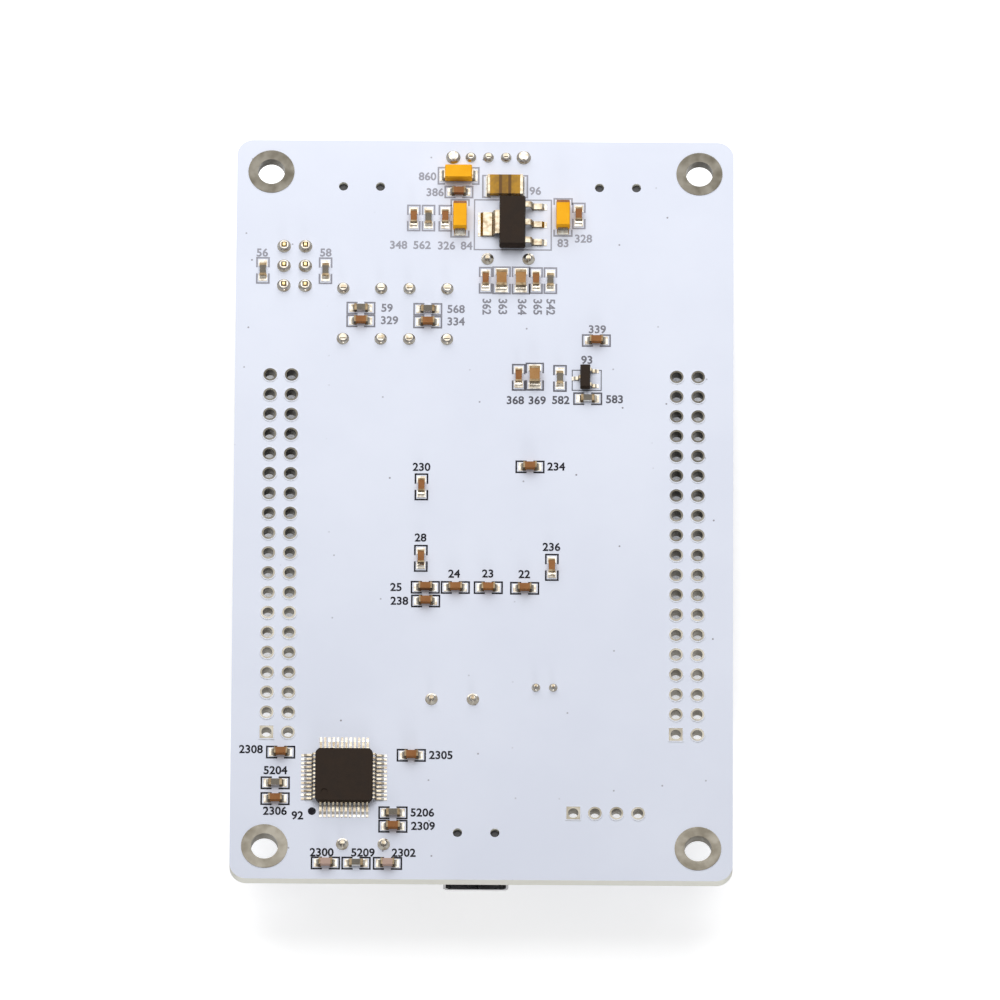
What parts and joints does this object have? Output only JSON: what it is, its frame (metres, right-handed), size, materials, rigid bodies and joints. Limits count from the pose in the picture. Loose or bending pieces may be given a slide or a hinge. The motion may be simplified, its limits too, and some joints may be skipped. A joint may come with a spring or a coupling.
{
  "type": "development board",
  "caption": "White microcontroller development board with plated header holes, sockets on two edges, a slide switch and push buttons.",
  "frame": {"origin": "middle of the board's outline in X and Y, and the surface that the board lies on in Z, where the boot pins' tips are", "axes": "+Z out of the solder side, +Y along the board's length to the edge with the power switch and two sockets, +X to the right as seen from the solder side"},
  "size_m": [0.0592, 0.0946, 0.0118],
  "materials": {
    "white_solder_mask": "satin white solder mask over glass laminate",
    "bare_land": "dull tinned copper",
    "solder": "bright solder",
    "tin": "matt tin",
    "bright_steel": "bright nickel plate",
    "gold": "thin gold plate",
    "brown_ceramic": "fired ceramic",
    "tan_ceramic": "fired ceramic",
    "white_ceramic": "alumina",
    "dark_glass": "dark glass coat",
    "orange_epoxy": "moulded orange epoxy",
    "gold_laminate": "translucent olive laminate",
    "black_epoxy": "moulded black epoxy",
    "black_plastic": "black nylon",
    "brown_laminate": "phenolic laminate",
    "lamp_resin": "clear resin"
  },
  "bodies": {
    "board": {"circuit_board": "white_solder_mask", "mounting_hole_lands": "bare_land", "left_header_lands": "bare_land", "right_header_lands": "bare_land", "probe_header_lands": "bare_land", "solder_joints": "solder", "surface_solder": "solder", "flat_pack_pads": "solder", "small_capacitor_bodies": "brown_ceramic", "small_capacitor_terminals": "tin", "large_capacitor_bodies": "tan_ceramic", "large_capacitor_terminals": "tin", "resistor_bodies": "white_ceramic", "resistor_coats": "dark_glass", "resistor_terminals": "tin", "tantalum_capacitor_bodies": "orange_epoxy", "tantalum_capacitor_straps": "tin", "resettable_fuse_body": "gold_laminate", "resettable_fuse_terminals": "tin", "regulator_body": "black_epoxy", "regulator_leads": "tin", "transistor_body": "black_epoxy", "transistor_leads": "tin", "probe_controller_body": "black_epoxy", "probe_controller_leads": "tin", "main_controller_body": "black_epoxy", "main_controller_leads": "tin", "serial_bridge_body": "black_epoxy", "serial_bridge_leads": "tin", "left_socket_shell": "bright_steel", "right_socket_shell": "bright_steel", "probe_socket_shell": "bright_steel", "left_socket_insulator": "black_plastic", "right_socket_insulator": "black_plastic", "probe_socket_insulator": "black_plastic", "socket_contacts": "gold", "serial_crystal_can": "bright_steel", "main_crystal_can": "bright_steel", "probe_crystal_can": "bright_steel", "crystal_leads": "tin", "clock_crystal_can": "bright_steel", "clock_crystal_leads": "tin", "boot_header_insulator": "black_plastic", "boot_header_pins": "gold", "switch_frame": "bright_steel", "switch_base": "brown_laminate", "switch_terminals": "tin", "left_button_housing": "black_plastic", "left_button_cover": "bright_steel", "left_button_dome": "bright_steel", "right_button_housing": "black_plastic", "right_button_cover": "bright_steel", "right_button_dome": "bright_steel", "button_legs": "tin", "indicator_lamps": "lamp_resin", "indicator_lamp_terminals": "gold"},
    "left_plunger": {"left_button_plunger": "black_plastic"},
    "right_plunger": {"right_button_plunger": "black_plastic"},
    "slider": {"switch_slider": "black_plastic", "switch_bridge": "gold"}
  },
  "joints": [
    {"name": "left_button_press", "type": "slide", "parent": "board", "child": "left_plunger", "axis": [0, 0, 1], "range_m": [0, 0.00025], "stiffness_N_per_m": 4000, "deforming": ["left_button_dome"]},
    {"name": "right_button_press", "type": "slide", "parent": "board", "child": "right_plunger", "axis": [0, 0, 1], "range_m": [0, 0.00025], "stiffness_N_per_m": 4000, "deforming": ["right_button_dome"]},
    {"name": "switch_slide", "type": "slide", "parent": "board", "child": "slider", "axis": [1, 0, 0], "range_m": [0, 0.0021]}
  ]
}
